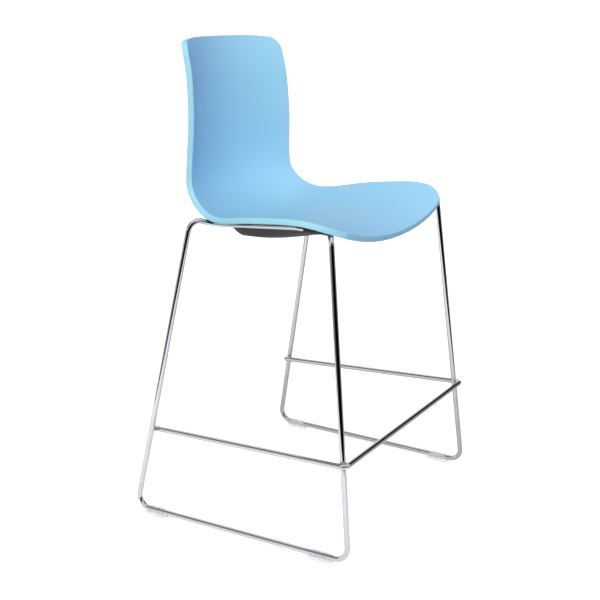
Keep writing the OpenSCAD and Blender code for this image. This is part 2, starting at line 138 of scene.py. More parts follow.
def shellPlastic():
    material, graph = newMaterial("shellPlastic")
    place = graph.place()
    flow = graph.spots(place, shellFinish["flowSize"], detail=1.0)
    grain = graph.spots(place, shellFinish["grainSize"], detail=3.0, roughness=0.6)
    roughness = (shellFinish["roughness"] + shellFinish["flowRoughens"] * flow
                 + shellFinish["grainRoughens"] * grain)
    bump = graph.bump(grain, shellFinish["grainDepth"], shellFinish["grainStrength"])
    finishMaterial(graph, {"Base Color": graph.mix(flow, shellFinish["colour"], shellFinish["paler"]),
                           "Roughness": roughness, "Normal": bump,
                           "IOR": shellFinish["refraction"], "Specular IOR Level": shellFinish["gloss"]})
    return material


chromeFinish = {
    "colour": rgb(0.70, 0.715, 0.745),
    "worn": rgb(0.60, 0.61, 0.64),
    "hazeSize": 0.03,
    "hazeRange": (0.5, 0.8),
    "hazeRoughens": 0.05,
    "roughness": 0.035,
    "waveSize": 0.02,
    "waveDepth": 0.00002,
    "waveStrength": 0.35,
}


def chromedSteel():
    material, graph = newMaterial("chromedSteel")
    place = graph.place()
    haze = graph.spots(place, chromeFinish["hazeSize"], detail=4.0, roughness=0.6)
    waves = graph.spots(place, chromeFinish["waveSize"], detail=1.0)
    thick = graph.smooth(haze, *chromeFinish["hazeRange"])
    bump = graph.bump(waves, chromeFinish["waveDepth"], chromeFinish["waveStrength"])
    finishMaterial(graph, {"Base Color": graph.mix(haze, chromeFinish["colour"], chromeFinish["worn"]),
                           "Metallic": 1.0,
                           "Roughness": chromeFinish["roughness"] + chromeFinish["hazeRoughens"] * thick,
                           "Normal": bump})
    return material


plainFinishes = {
    # name: colour, other colour, metallic, roughness, size of the marks, depth of the marks
    "weldMetal": (rgb(0.58, 0.58, 0.59), rgb(0.40, 0.40, 0.41), 1.0, 0.20, 0.0022, 0.00025),
    "stripSteel": (rgb(0.62, 0.63, 0.64), rgb(0.50, 0.51, 0.52), 1.0, 0.16, 0.012, 0.00003),
    "coverPlastic": (rgb(0.020, 0.022, 0.029), rgb(0.029, 0.031, 0.040), 0.0, 0.50, 0.0012, 0.00006),
    "padPlastic": (rgb(0.020, 0.021, 0.022), rgb(0.035, 0.035, 0.036), 0.0, 0.65, 0.0015, 0.00005),
    "screwSteel": (rgb(0.10, 0.10, 0.105), rgb(0.16, 0.16, 0.165), 1.0, 0.34, 0.0012, 0.00003),
    "zincSteel": (rgb(0.55, 0.56, 0.58), rgb(0.42, 0.43, 0.45), 1.0, 0.30, 0.0030, 0.00002),
    "brass": (rgb(0.72, 0.50, 0.20), rgb(0.55, 0.36, 0.13), 1.0, 0.30, 0.0020, 0.00002),
}
plainMarks = {"strength": 0.5, "roughens": 0.15}


def plainMaterial(name):
    colour, otherColour, metallic, roughness, size, depth = plainFinishes[name]
    material, graph = newMaterial(name)
    marks = graph.spots(graph.place(), size, detail=3.0, roughness=0.6)
    finishMaterial(graph, {"Base Color": graph.mix(marks, colour, otherColour), "Metallic": metallic,
                           "Roughness": roughness + plainMarks["roughens"] * marks,
                           "Normal": graph.bump(marks, depth, plainMarks["strength"])})
    return material


glideFinish = {
    "colour": rgb(0.84, 0.88, 0.95),
    # painted shade: the darker colour it takes seen edge on, standing in for what refraction and reflection
    # show at the edges of clear plastic
    "edge": rgb(0.46, 0.52, 0.62),
    "alpha": (0.18, 0.80),  # seen square on, and edge on
    "edgeBlend": 0.35,      # how soon it counts as edge on
    "scuffs": 0.06,
    "scuffSize": 0.004,
    "scuffRange": (0.45, 0.75),
    "scuffsRoughen": 0.3,
    "roughness": 0.12,
    "refraction": 1.5,
}


def clearPlastic():  # see-through by alpha, so that it looks the same wherever it is shown
    material, graph = newMaterial("clearPlastic")
    edgeOn = graph.node("ShaderNodeLayerWeight", None, {"Blend": glideFinish["edgeBlend"]}, out="Facing")
    blots = graph.spots(graph.place(), glideFinish["scuffSize"], detail=4.0, roughness=0.7)
    scuffs = graph.smooth(blots, *glideFinish["scuffRange"])
    thin, thick = glideFinish["alpha"]
    # painted shade: the colour darkens towards edge on, as refraction and reflection would make it look
    finishMaterial(graph, {"Base Color": graph.mix(edgeOn, glideFinish["colour"], glideFinish["edge"]),
                           "Roughness": glideFinish["roughness"] + glideFinish["scuffsRoughen"] * scuffs,
                           "Alpha": thin + (thick - thin) * edgeOn + glideFinish["scuffs"] * scuffs,
                           "IOR": glideFinish["refraction"]})
    return material


finishes = {name: plainMaterial(name) for name in plainFinishes}
finishes["shellPlastic"] = shellPlastic()
finishes["chromedSteel"] = chromedSteel()
finishes["clearPlastic"] = clearPlastic()
print("stool: materials made")


# Mesh helpers

def newObject(name, points, faces, unit=mm):  # the unit that the points are in
    mesh = bpy.data.meshes.new(name)
    mesh.from_pydata([Vector(p) * unit for p in points], [], faces)
    mesh.validate()
    made = bpy.data.objects.new(name, mesh)
    bpy.context.scene.collection.objects.link(made)
    return made


def newPiece(name, points, faces, finish, slot, replaced=()):
    piece = newObject(name, points, faces)
    finishPiece(piece, finish, replaced)
    return piece


def finishPiece(piece, finish, replaced):
    piece.data.shade_smooth()
    piece.data.materials.clear()
    piece.data.materials.append(finishes[finish])
    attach(piece, "root")
    if replaced:
        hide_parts(*replaced)


def applyModifiers(piece):
    depsgraph = bpy.context.evaluated_depsgraph_get()
    mesh = bpy.data.meshes.new_from_object(piece.evaluated_get(depsgraph))
    piece.modifiers.clear()
    piece.data = mesh


def carve(piece, cutters):  # takes the cutters out of the piece, and deletes them
    for cutter in cutters:
        modifier = piece.modifiers.new("cut", "BOOLEAN")
        modifier.operation = "DIFFERENCE"
        modifier.solver = "EXACT"
        modifier.object = cutter
    applyModifiers(piece)
    for cutter in cutters:
        bpy.data.objects.remove(cutter)


def stepBlend(value, low, high):
    t = max(0.0, min(1.0, (value - low) / (high - low)))
    return t * t * (3 - 2 * t)


def arc(centre, radius, fromAngle, toAngle, steps):  # points of a flat arc, in degrees
    return [(centre[0] + radius * math.cos(math.radians(fromAngle + (toAngle - fromAngle) * i / steps)),
             centre[1] + radius * math.sin(math.radians(fromAngle + (toAngle - fromAngle) * i / steps)))
            for i in range(steps + 1)]


def lathe(profile, at):  # a closed profile of radius and height, turned about a vertical axis
    sides = turnedSides
    points, rings = [], []
    for r, z in profile:
        ring = sides if r > 0 else 1    # a place on the axis is one point
        rings.append((len(points), ring))
        points += [(at[0] + r * math.cos(2 * math.pi * k / sides),
                    at[1] + r * math.sin(2 * math.pi * k / sides), at[2] + z) for k in range(ring)]
    faces = []
    for (a, countA), (b, countB) in zip(rings, rings[1:] + rings[:1]):
        for k in range(sides):
            face = (a + k % countA, a + (k + 1) % countA, b + (k + 1) % countB, b + k % countB)
            face = tuple(dict.fromkeys(face))
            if len(face) > 2:
                faces.append(face)
    return points, faces


def joinParts(parts):  # pairs of points and faces as one pair
    points, faces = [], []
    for morePoints, moreFaces in parts:
        shift = len(points)
        points += morePoints
        faces += [tuple(v + shift for v in face) for face in moreFaces]
    return points, faces


def flipX(p):
    return Vector((-p.x, p.y, p.z))


def mirrored(part):
    points, faces = part
    return [flipX(p) for p in points], [tuple(reversed(f)) for f in faces]


# Seat shell, in millimetres as everything below but the studio

shell = {
    "seatZ": 608,
    "backRise": 365,
    "wall": 4,
    "rimDepth": 12,
    "cupRadius": {"top": 275, "waist": 357, "seat": 757},
    # distance behind the origin, share of the back's rise or height over the seat, half width
    "back": [(231, 1, 171), (213, 0.827, 175), (207, 0.652, 179), (204, 0.477, 183),
             (209, 0.304, 187), (195, 0.134, 189)],
    "seat": [(140, 7, 199), (75, -6, 216), (8, 1, 244), (-64, 4.5, 253), (-136, 9, 259),
             (-213, -5, 251)],
    "stationLength": 67,    # how far apart stations count as, near the ends
    "cupTurn": (3.6, 6.8),  # stations where the cup of the back turns into that of the seat
    "leanTurn": (3.2, 7.2),     # stations where the cup turns from forwards to upwards
    "topCorner": (16, 42),  # how much narrower the end is, and over what length
    "frontCorner": (42, 75),
    "topBow": (5.4, 60),    # how much lower the corners of the top are, and over what length
    "frontBow": (9, 100),   # how far the corners of the front lie back, and over what length
    "bowSlope": 0.24,       # how far they rise for each millimetre of that
    "crowding": 0.035,      # draws the rows together at both ends and in the bend
    "rows": 180,
    "columns": 90,
    "upperRound": 2.2,      # radius of the rim's upper edge
    "lowerRound": 1.2,
    "innerRound": 2.0,
    "roundSteps": (8, 5, 6),    # upper, lower and inner
    "probe": (0.02, 1.0),   # how far off, in stations and mm, the slope is measured
}
shellStations = ([(y, shell["seatZ"] + shell["backRise"] * rise, w) for y, rise, w in shell["back"]]
                 + [(y, shell["seatZ"] + z, w) for y, z, w in shell["seat"]])
lastStation = len(shellStations) - 1


def station(i):
    if i < 0:
        return tuple(2 * a - b for a, b in zip(shellStations[0], shellStations[1]))
    if i > lastStation:
        return tuple(2 * a - b for a, b in zip(shellStations[-1], shellStations[-2]))
    return shellStations[i]


def shellMiddle(u):  # the shell's middle line as y, z and half width, by a cubic B-spline
    i = min(math.floor(u), lastStation - 1)
    t = u - i
    weights = ((1 - t) ** 3, 3 * t ** 3 - 6 * t ** 2 + 4, 3 * (t + t ** 2 - t ** 3) + 1, t ** 3)
    around = [station(i + k) for k in (-1, 0, 1, 2)]
    return [sum(w * s[axis] for w, s in zip(weights, around)) / 6 for axis in range(3)]


def nearEnd(length, reach):  # 1 at the end, 0 beyond the reach
    return max(0.0, 1 - length / reach)


def halfWidth(u, middle):
    top, front = shell["topCorner"], shell["frontCorner"]
    fromFront = (lastStation - u) * shell["stationLength"]
    return (middle[2] - top[0] * nearEnd(u * shell["stationLength"], top[1]) ** 3
            - front[0] * nearEnd(fromFront, front[1]) ** 3)


def cup(u):  # lift over the square of the distance from the middle
    radius = shell["cupRadius"]
    inSeat = stepBlend(u, *shell["cupTurn"])
    down = min(1.0, u / shell["cupTurn"][0])
    inBack = (1 - down) / (2 * radius["top"]) + down / (2 * radius["waist"])
    return (1 - inSeat) * inBack + inSeat / (2 * radius["seat"])


rowCache = {}


def shellRow(u):  # what every point of a row shares
    if u not in rowCache:
        middle = shellMiddle(u)
        lean = math.radians(90 * stepBlend(u, *shell["leanTurn"]))
        top, front = shell["topBow"], shell["frontBow"]
        rowCache[u] = (middle, halfWidth(u, middle), cup(u), math.cos(lean), math.sin(lean),
                       top[0] * nearEnd(u * shell["stationLength"], top[1]) ** 2,
                       front[0] * nearEnd((lastStation - u) * shell["stationLength"], front[1]) ** 2)
    return rowCache[u]


def shellFace(u, x):  # a place on the upper face, by station and distance from the middle
    middle, half, cupping, leanCos, leanSin, bow, draw = shellRow(u)
    lift = cupping * x * x
    aside = (x / half) ** 4
    return Vector((x, middle[0] - lift * leanCos + draw * aside,
                   middle[1] + lift * leanSin - bow * aside + shell["bowSlope"] * draw * aside))


def shellNormal(u, x):
    stations, aside = shell["probe"]
    before, after = max(0.0, u - stations), min(float(lastStation), u + stations)
    along = shellFace(before, x) - shellFace(after, x)
    return along.cross(shellFace(u, x - aside) - shellFace(u, x + aside)).normalized()


def shellPoint(i, j, inset, depth):  # a place of the grid, in from the edge and down from the face
    t = i / shell["rows"]
    spread = t - shell["crowding"] * math.sin(4 * math.pi * t)
    uInset = inset / shell["stationLength"]
    u = uInset + spread * (lastStation - 2 * uInset)
    x = (2 * j / shell["columns"] - 1) * (shellRow(u)[1] - inset)
    return shellFace(u, x) - depth * shellNormal(u, x)


def rimSection():  # inset and depth, from the upper face round to the underside
    wall, rim = shell["wall"], shell["rimDepth"]
    up, low, inner = shell["upperRound"], shell["lowerRound"], shell["innerRound"]
    upSteps, lowSteps, innerSteps = shell["roundSteps"]
    return (arc((up, up), up, -90, -180, upSteps)
            + arc((low, rim - low), low, 180, 90, lowSteps)
            + arc((wall - low, rim - low), low, 90, 0, lowSteps)
            + arc((wall + inner, wall + inner), inner, 180, 270, innerSteps))


def makeShell():
    rows, columns = shell["rows"], shell["columns"]
    section = rimSection()
    walk = ([(0, j) for j in range(columns)] + [(i, columns) for i in range(rows)]
            + [(rows, j) for j in range(columns, 0, -1)] + [(i, 0) for i in range(rows, 0, -1)])
    points = []
    for inset, depth in (section[0], section[-1]):
        points += [shellPoint(i, j, inset, depth) for i in range(rows + 1) for j in range(columns + 1)]
    for inset, depth in section[1:-1]:
        points += [shellPoint(i, j, inset, depth) for i, j in walk]
    grid = (rows + 1) * (columns + 1)
    last = len(section) - 1

    def ringPoint(ring, k):
        i, j = walk[k % len(walk)]
        if ring == 0:
            return i * (columns + 1) + j
        if ring == last:
            return grid + i * (columns + 1) + j
        return 2 * grid + (ring - 1) * len(walk) + k % len(walk)

    faces = []
    for i in range(rows):
        for j in range(columns):
            a = i * (columns + 1) + j
            b = a + columns + 1
            faces.append((a, b, b + 1, a + 1))
            faces.append((grid + a, grid + a + 1, grid + b + 1, grid + b))
    for ring in range(last):
        for k in range(len(walk)):
            faces.append((ringPoint(ring, k), ringPoint(ring, k + 1),
                          ringPoint(ring + 1, k + 1), ringPoint(ring + 1, k)))
    return newPiece("seatShell", points, faces, "shellPlastic", "shell_plastic", ("seat_shell",))


# Bosses under the shell, and the sizes of what is fixed there

fixings = {
    "strips": {"front": (-75, 604, 614.3), "rear": (60, 592, 606.5)},   # y, top, where the bosses end
    "screwX": 70,
    "coverScrewX": 40,
    "stripWidth": 30,
    "stripThickness": 4,
    "stripFlat": 85,        # where a strip bends up, from the middle
    "bossRadius": 9,
    "bossFoot": 3,          # radius where a boss runs into the shell
    "bossFootSteps": 6,
    "bossEdge": 0.8,
    "insertRadius": 4,
    "insertHole": 10,       # its depth
    "postRadius": 5.5,
    "postEdge": 0.5,
    "postSink": 0.9,        # share of the cover's wall under a post's foot
}


def makeBosses():
    parts = []
    for y, low, high in fixings["strips"].values():
        for side in (-1, 1):
            outer, inner, foot = fixings["bossRadius"], fixings["insertRadius"], fixings["bossFoot"]
            top, hole, edge = high - low, fixings["insertHole"], fixings["bossEdge"]
            profile = ([(inner, 0), (outer - edge, 0), (outer, edge)]
                       + arc((outer + foot, top - foot), foot, 180, 90, fixings["bossFootSteps"])
                       + [(0, top), (0, hole), (inner, hole)])
            parts.append(lathe(profile, (side * fixings["screwX"], y, low)))
    points, faces = joinParts(parts)
    newPiece("seatBosses", points, faces, "shellPlastic", "shell_plastic")


seatShell = makeShell()
makeBosses()
print("stool: seat shell made with", len(seatShell.data.polygons), "faces")


# Bent rods

rod = {
    "radius": 5.5,
    "sides": 32,
    "stepAngle": 4.0,       # turn of a bend from one ring to the next
    "endRound": 1.0,
    "endSteps": 4,
}
# Corners of the side frames' middle line, given for the frame at +X
floorRail = {
    "height": 12,
    "length": 500,
    "spread": {"front": 555, "rear": 577},      # from one frame's rail to the other's
    "legTop": {"front": (236.5, -184.5, 634), "rear": (241.4, 126.2, 634)},
    "seatRun": [(200, 113, 619), (195, 84, 618), (212, 0, 627.4), (219, -100, 635.5), (190, -152, 626.7)],
    "seatRunBend": 28,
    "floorBend": 26,
    "topBend": 22,
}
footrest = {
    "frontZ": 203,
    "rearZ": 186,
    "tail": 6,
    "pitch": 11.3,          # from the middle of the bar to the middle of a leg
}
floorFront = Vector((floorRail["spread"]["front"] / 2, -floorRail["length"] / 2, floorRail["height"]))
floorRear = Vector((floorRail["spread"]["rear"] / 2, floorRail["length"] / 2, floorRail["height"]))
legTopFront = Vector(floorRail["legTop"]["front"])
legTopRear = Vector(floorRail["legTop"]["rear"])
seatRun = [Vector(p) for p in floorRail["seatRun"]]


def atY(a, b, y):  # where the line through a and b has that y
    return a + (b - a) * (y - a.y) / (b.y - a.y)


def atZ(a, b, z):
    return a + (b - a) * (z - a.z) / (b.z - a.z)


def bentPath(corners, radii):  # points of straight runs and arcs, with their directions
    made = [(corners[0], (corners[1] - corners[0]).normalized())]
    for i in range(1, len(corners) - 1):
        wayIn = (corners[i] - corners[i - 1]).normalized()
        wayOut = (corners[i + 1] - corners[i]).normalized()
        turn = wayIn.angle(wayOut)
        setback = radii[i] * math.tan(turn / 2)
        start = corners[i] - wayIn * setback
        inward = (wayOut - wayIn * wayIn.dot(wayOut)).normalized()
        steps = max(2, math.ceil(math.degrees(turn) / rod["stepAngle"]))
        for k in range(steps + 1):
            a = turn * k / steps
            made.append((start + wayIn * radii[i] * math.sin(a) + inward * radii[i] * (1 - math.cos(a)),
                         wayIn * math.cos(a) + inward * math.sin(a)))
    made.append((corners[-1], (corners[-1] - corners[-2]).normalized()))
    return made


def sweepRod(path, radius, endRound=None):  # rings carried along without twisting; a loop has no ends
    sides = rod["sides"]
    closed = endRound is None
    if closed:
        rings = [(p, w, radius) for p, w in path[:-1]]
    else:
        (first, way), (last, lastWay) = path[0], path[-1]
        steps = rod["endSteps"]
        ends = [(endRound * (1 - math.cos(a)), radius - endRound * (1 - math.sin(a)))
                for a in (math.pi / 2 * k / steps for k in range(steps + 1))]
        rings = ([(first + way * back, way, r) for back, r in ends]
                 + [(p, w, radius) for p, w in path[1:-1]]
                 + [(last - lastWay * back, lastWay, r) for back, r in reversed(ends)])
    side = rings[0][1].orthogonal().normalized()
    points, way = [], rings[0][1]
    for p, nextWay, r in rings:
        side = way.rotation_difference(nextWay) @ side
        side = (side - nextWay * side.dot(nextWay)).normalized()
        way = nextWay
        up = way.cross(side)
        for k in range(sides):
            a = 2 * math.pi * k / sides
            points.append(p + side * r * math.cos(a) + up * r * math.sin(a))
    faces = []
    count = len(rings)
    for i in range(count if closed else count - 1):
        shift = 0
        if closed and i == count - 1:   # meet the first ring at the place that turned least
            lastFirst = points[i * sides]
            shift = min(range(sides), key=lambda k: (points[k] - lastFirst).length)
        for k in range(sides):
            a, b = i * sides + k, i * sides + (k + 1) % sides
            c = ((i + 1) % count) * sides + (k + 1 + shift) % sides
            d = ((i + 1) % count) * sides + (k + shift) % sides
            faces.append((a, b, c, d))
    if not closed:
        faces.append(tuple(range(sides - 1, -1, -1)))
        faces.append(tuple((count - 1) * sides + k for k in range(sides)))
    return points, faces


def makeSideFrames():
    seam = (floorFront + floorRear) / 2
    corners = [seam, floorRear, legTopRear] + seatRun + [legTopFront, floorFront, seam]
    radii = ([0, floorRail["floorBend"], floorRail["topBend"]] + [floorRail["seatRunBend"]] * len(seatRun)
             + [floorRail["topBend"], floorRail["floorBend"], 0])
    swept = sweepRod(bentPath(corners, radii), rod["radius"])
    newPiece("sideFrameLeft", *swept, "chromedSteel", "chrome_rod", ("side_frame_left",))
    newPiece("sideFrameRight", *mirrored(swept), "chromedSteel", "chrome_rod", ("side_frame_right",))


frontLeg = (legTopFront - floorFront).normalized()
rearLeg = (legTopRear - floorRear).normalized()
onFrontLeg = atZ(floorFront, legTopFront, footrest["frontZ"])
onRearLeg = atZ(floorRear, legTopRear, footrest["rearZ"])
barWay = (onRearLeg - onFrontLeg - Vector((2 * footrest["pitch"], 0, 0))).normalized()
frontSide = barWay.cross(frontLeg).normalized()
rearSide = barWay.cross(rearLeg).normalized()
barFront = onFrontLeg + frontSide * footrest["pitch"]
barRear = onRearLeg - rearSide * footrest["pitch"]
crossSide = frontLeg.cross(Vector((1, 0, 0))).normalized()
crossPoint = onFrontLeg - crossSide * footrest["pitch"]
barCorner = atY(barFront, barRear, crossPoint.y)
barEnd = barRear + (barRear - barFront).normalized() * footrest["tail"]


def makeFootrest():
    corners = [flipX(barEnd), flipX(barCorner), barCorner, barEnd]
    path = bentPath(corners, [0, footrest["pitch"], footrest["pitch"], 0])
    swept = sweepRod(path, rod["radius"], rod["endRound"])
    newPiece("footrestBar", *swept, "chromedSteel", "chrome_rod", ("footrest_bar",))


# Black sleeves on the rods under the front of the seat: painted shade, a dark piece that blackens the rods
# where they run into the shade under the front of the rim
shadeSleeve = {"from": -112, "to": -168, "thickness": 1.0, "endRound": 0.8}


def makeShadeSleeves():
    corners = [atY(seatRun[3], seatRun[4], shadeSleeve["from"]), seatRun[4],
               atY(seatRun[4], legTopFront, shadeSleeve["to"])]
    path = bentPath(corners, [0, floorRail["seatRunBend"], 0])
    # black pad plastic over the rods, put there as painted shade
    swept = sweepRod(path, rod["radius"] + shadeSleeve["thickness"], shadeSleeve["endRound"])
    newPiece("frontShadeSleeves", *joinParts([swept, mirrored(swept)]), "padPlastic", "pad_plastic")


makeSideFrames()
makeFootrest()
makeShadeSleeves()
print("stool: rods bent")


# Welds

weld = {
    "lumpSize": 2.6,        # pitch of the ripples in a bead, in millimetres
    "lumpHeight": 0.35,
    "lumpShift": 0.37,      # keeps one weld from looking like the next
    "footrest": {"along": 0.45, "across": 0.42, "radii": (3.4, 3.4, 4.2)},
    "strip": {"radius": 2.6, "half": 12.5, "away": 0.5, "below": 1.0},
}


def blob(centre, axes, radii, levels):  # a rippled egg of weld metal
    ball = bmesh.new()
    bmesh.ops.create_icosphere(ball, subdivisions=levels, radius=1.0)
    points = []
    for v in ball.verts:
        n = v.co.normalized()
        ripple = 1 + weld["lumpHeight"] / max(radii) * noise.noise(
            Vector(n[i] * radii[i] for i in range(3)) * (2 / weld["lumpSize"]) + centre * weld["lumpShift"])
        points.append(centre + sum((axes[i] * (n[i] * radii[i] * ripple) for i in range(3)), Vector()))
    faces = [tuple(v.index for v in f.verts) for f in ball.faces]
    ball.free()
    return points, faces


def makeFootrestWelds():
    parts = []
    across, along = weld["footrest"]["across"], weld["footrest"]["along"]
    for leg, side, way in ((onFrontLeg, frontSide, barWay), (onFrontLeg, -crossSide, Vector((-1, 0, 0))),
                           (onRearLeg, -rearSide, -barWay)):
        centre = leg + footrest["pitch"] * (across * side + along * way)
        up = side.cross(way).normalized()
        made = blob(centre, (side, up.cross(side), up), weld["footrest"]["radii"], levels=3)
        parts += [made, mirrored(made)]
    newPiece("footrestWelds", *joinParts(parts), "weldMetal", "weld_metal", ("footrest_welds",))


def stripRise(strip):  # where a strip bends up, where it ends, its way there, and the rod's way
    a, b = (1, 2) if strip[0] > seatRun[2].y else (2, 3)
    bend = Vector((fixings["stripFlat"], strip[0], strip[1] - fixings["stripThickness"] / 2))
    end = atY(seatRun[a], seatRun[b], strip[0])
    return bend, end, (end - bend).normalized(), (seatRun[b] - seatRun[a]).normalized()


def makeStripWelds():
    parts = []
    sizes = weld["strip"]
    for strip in fixings["strips"].values():
        _, end, out, along = stripRise(strip)
        corner = end - out * (rod["radius"] + sizes["away"])
        corner.z -= fixings["stripThickness"] / 2 + sizes["below"]
        up = out.cross(along).normalized()
        radii = (sizes["half"], sizes["radius"], sizes["radius"])
        made = blob(corner, (along, up.cross(along), up), radii, levels=4)
        parts += [made, mirrored(made)]
    newPiece("stripWelds", *joinParts(parts), "weldMetal", "weld_metal", ("strip_welds",))


makeFootrestWelds()
makeStripWelds()
print("stool: welds made")


# Under-seat cover

cover = {
    "half": (178, 124),
    "middleY": -14,
    "corner": 5,            # power of the outline, where 2 would be an ellipse
    "wall": 2.5,
    "sideFrom": 0.84,       # share of the way out at which the side starts
    "sidePower": 1.7,
    "ringPower": 0.7,       # below 1 the rings lie closer towards the edge
    "level": 590,
    "rise": 22,             # how much higher the front is
    "riseY": (50, -115),    # from where to where it rises
    "dish": (21, 150),      # how much lower the middle is, and how far out that ends
    "edge": (10, 0.058, 60, 7),     # drop under the seat, slope, where it starts, and its limit
    "notch": {"gap": 1.5, "high": 30},      # round the raised end of a strip
    "recess": {"radius": 4.3, "depth": 1.8, "below": 3},
    "hole": {"radius": 2.2, "high": 9},
    "rings": 44,
    "spokes": 176,
}


def coverFloor(x, y):  # height of the underside, away from the sides
    side = cover["level"] + cover["rise"] * stepBlend(y, *cover["riseY"])
    return side - cover["dish"][0] * (1 - (x / cover["dish"][1]) ** 2)


def coverEdge(x, y):  # height of the rim
    drop, slope, start, limit = cover["edge"]
    cupping = x * x / (2 * shell["cupRadius"]["seat"])
    return shell["seatZ"] - drop + min(limit, slope * (start - y)) + cupping


def coverPoint(t, angle, inset):  # by share of the way out; the inset is 0 outside and the wall inside
    c, s, e = math.cos(angle), math.sin(angle), cover["corner"]
    size = (abs(c / cover["half"][0]) ** e + abs(s / cover["half"][1]) ** e) ** (-1 / e)
    reach = t * (size - inset)
    x, y = c * reach, s * reach + cover["middleY"]
    side = max(0.0, (t - cover["sideFrom"]) / (1 - cover["sideFrom"]))
    bottom = coverFloor(x, y) + inset
    return x, y, bottom + side ** cover["sidePower"] * (coverEdge(x, y) - bottom)


def makeCover():
    rings, spokes = cover["rings"], cover["spokes"]
    points = []
    for inset in (0, cover["wall"]):
        points.append(coverPoint(0, 0, inset))
        for r in range(1, rings + 1):
            t = (r / rings) ** cover["ringPower"]
            points += [coverPoint(t, 2 * math.pi * k / spokes, inset) for k in range(spokes)]
    perFace = 1 + rings * spokes

    def at(face, r, k):
        return face * perFace + 1 + (r - 1) * spokes + k % spokes

    faces = []
    for k in range(spokes):
        faces.append((0, at(0, 1, k + 1), at(0, 1, k)))
        faces.append((perFace, at(1, 1, k), at(1, 1, k + 1)))
        for r in range(1, rings):
            faces.append((at(0, r, k), at(0, r, k + 1), at(0, r + 1, k + 1), at(0, r + 1, k)))
            faces.append((at(1, r, k), at(1, r + 1, k), at(1, r + 1, k + 1), at(1, r, k + 1)))
        faces.append((at(0, rings, k), at(0, rings, k + 1), at(1, rings, k + 1), at(1, rings, k)))
    piece = newObject("underSeatCover", points, faces)
    carve(piece, [cutter(strip, side) for strip in fixings["strips"].values() for side in (-1, 1)
                  for cutter in (notchCutter, holeCutter)])
    finishPiece(piece, "coverPlastic", ("under_seat_cover",))


def holeCutter(strip, side):  # the hole and the recess of a cover screw
    recess, hole = cover["recess"], cover["hole"]
    head = (side * fixings["coverScrewX"], strip[0], coverFloor(fixings["coverScrewX"], strip[0]))
    profile = [(0, -recess["below"]), (recess["radius"], -recess["below"]),
               (recess["radius"], recess["depth"]), (hole["radius"], recess["depth"]),
               (hole["radius"], hole["high"]), (0, hole["high"])]
    return newObject("hole", *lathe(profile, head))


def notchCutter(strip, side):  # the space over the raised end of a strip, with its clearance
    bend, end, out, _ = stripRise(strip)
    over = out.cross(Vector((0, -1, 0))).normalized()
    if over.z < 0:
        over = -over
    wide = fixings["stripWidth"] / 2 + cover["notch"]["gap"]
    low = -(fixings["stripThickness"] / 2 + cover["notch"]["gap"])
    points = [bend + out * a * (end - bend).length + Vector((0, b * wide, 0)) + over * c
              for a in (0, 1) for b in (-1, 1) for c in (low, cover["notch"]["high"])]
    if side < 0:
        points = [flipX(p) for p in points]
    faces = [(0, 1, 3, 2), (4, 6, 7, 5), (0, 4, 5, 1), (2, 3, 7, 6), (0, 2, 6, 4), (1, 5, 7, 3)]
    cutter = newObject("notch", points, faces)
    work = bmesh.new()
    work.from_mesh(cutter.data)
    bmesh.ops.recalc_face_normals(work, faces=work.faces)
    work.to_mesh(cutter.data)
    work.free()
    return cutter


def makePosts():  # the cover's posts, which its screws go up through
    parts = []
    inner, outer, edge = cover["hole"]["radius"], fixings["postRadius"], fixings["postEdge"]
    for y, top, _ in fixings["strips"].values():
        foot = coverFloor(fixings["coverScrewX"], y) + fixings["postSink"] * cover["wall"]
        high = top - fixings["stripThickness"] - foot
        profile = [(inner, 0), (outer, 0), (outer, high - edge), (outer - edge, high), (inner, high)]
        for side in (-1, 1):
            parts.append(lathe(profile, (side * fixings["coverScrewX"], y, foot)))
    newPiece("coverPosts", *joinParts(parts), "coverPlastic", "cover_plastic")


makeCover()
makePosts()
print("stool: cover made")


# The CAD nodes that keep their shape

keptNodes = {
    "seat_inserts": "brass",
    "seat_screws": "screwSteel",
    "seat_washers": "zincSteel",
    "cover_screws": "screwSteel",
    "front_cross_strip": "stripSteel",
    "rear_cross_strip": "stripSteel",
    "seat_pad_front_right": "padPlastic",
    "seat_pad_front_left": "padPlastic",
    "seat_pad_rear_right": "padPlastic",
    "seat_pad_rear_left": "padPlastic",
    "glide_front_right": "clearPlastic",
    "glide_front_left": "clearPlastic",
    "glide_rear_right": "clearPlastic",
    "glide_rear_left": "clearPlastic",
}
for nodeName, finish in keptNodes.items():
    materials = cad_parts[nodeName].data.materials
    materials.clear()
    materials.append(finishes[finish])
print("stool: kept nodes finished")


# Studio, in metres

